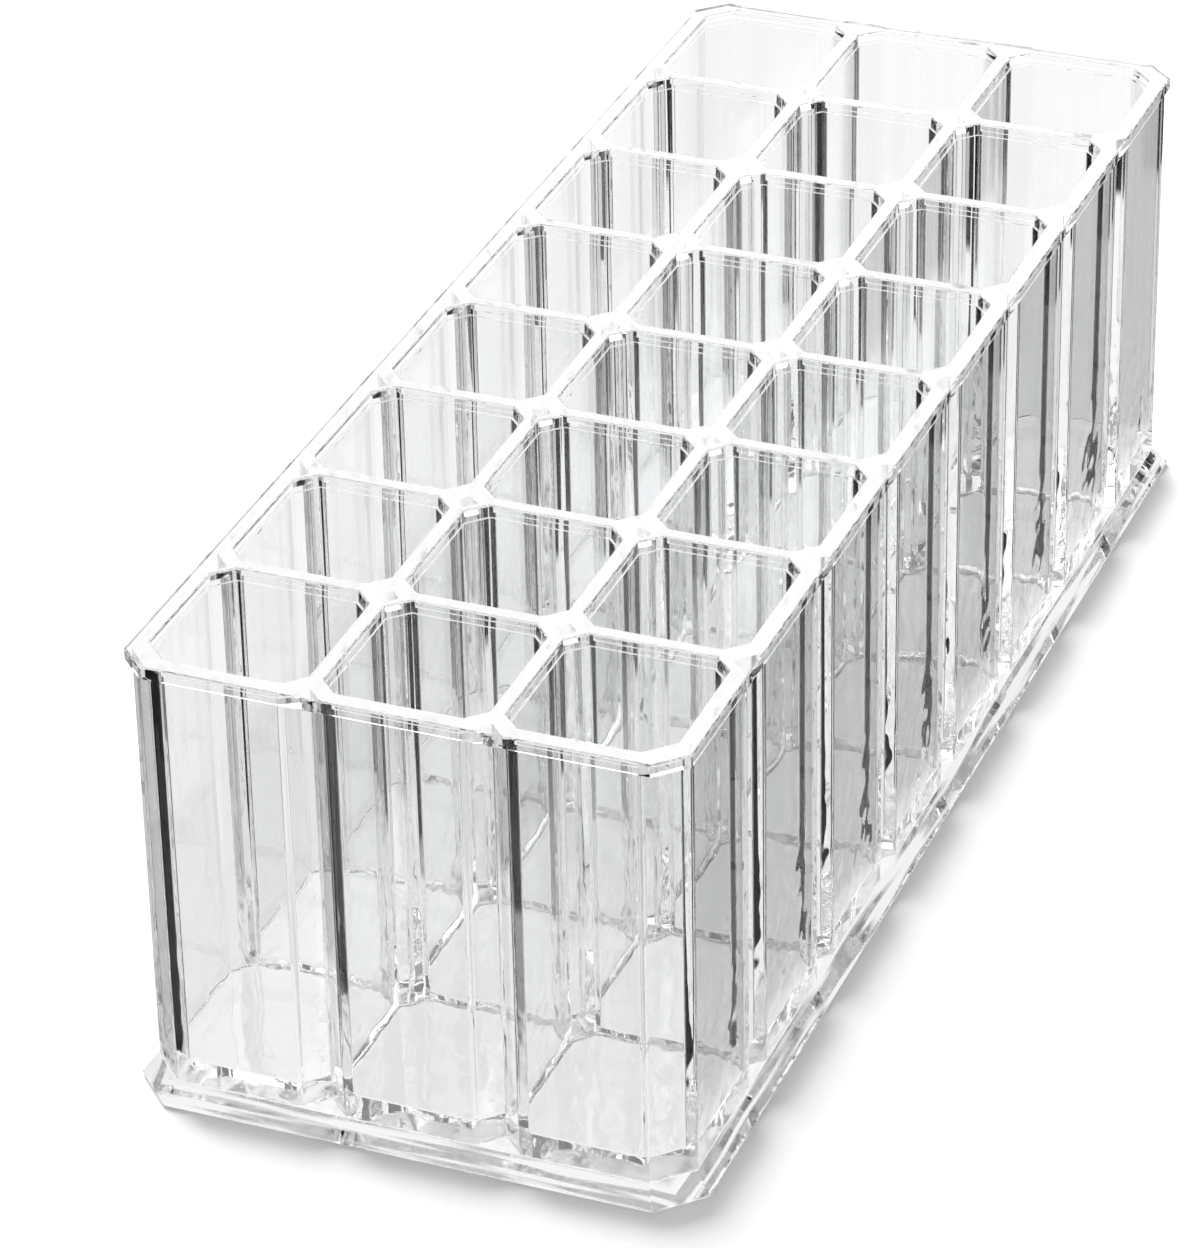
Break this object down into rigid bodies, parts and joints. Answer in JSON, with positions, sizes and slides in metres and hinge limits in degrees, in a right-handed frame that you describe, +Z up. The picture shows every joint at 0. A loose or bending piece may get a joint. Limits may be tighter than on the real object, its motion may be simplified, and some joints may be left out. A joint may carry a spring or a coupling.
{
  "type": "vanity organizer",
  "caption": "Clear upright vanity organizer: a grid of chamfered square pockets for lipsticks and brushes under a flat rim grid, on a bevelled base plate.",
  "frame": {"origin": "middle of the underside of the base plate", "axes": "+Z up, +Y from the narrow front to the rear along the long side, +X to the right"},
  "size_m": [0.093, 0.2516, 0.077],
  "materials": {
    "base_clear_plastic": "clear, polished, colourless",
    "rim_clear_plastic": "clear, polished, colourless, bright on its flat top",
    "pocket_clear_plastic": "clear, polished, colourless"
  },
  "bodies": {
    "root": {"base_plate": "base_clear_plastic", "rim_grid": "rim_clear_plastic", "pocket_c1_r1": "pocket_clear_plastic", "pocket_c2_r1": "pocket_clear_plastic", "pocket_c3_r1": "pocket_clear_plastic", "pocket_c1_r2": "pocket_clear_plastic", "pocket_c2_r2": "pocket_clear_plastic", "pocket_c3_r2": "pocket_clear_plastic", "pocket_c1_r3": "pocket_clear_plastic", "pocket_c2_r3": "pocket_clear_plastic", "pocket_c3_r3": "pocket_clear_plastic", "pocket_c1_r4": "pocket_clear_plastic", "pocket_c2_r4": "pocket_clear_plastic", "pocket_c3_r4": "pocket_clear_plastic", "pocket_c1_r5": "pocket_clear_plastic", "pocket_c2_r5": "pocket_clear_plastic", "pocket_c3_r5": "pocket_clear_plastic", "pocket_c1_r6": "pocket_clear_plastic", "pocket_c2_r6": "pocket_clear_plastic", "pocket_c3_r6": "pocket_clear_plastic", "pocket_c1_r7": "pocket_clear_plastic", "pocket_c2_r7": "pocket_clear_plastic", "pocket_c3_r7": "pocket_clear_plastic", "pocket_c1_r8": "pocket_clear_plastic", "pocket_c2_r8": "pocket_clear_plastic", "pocket_c3_r8": "pocket_clear_plastic"}
  },
  "joints": []
}
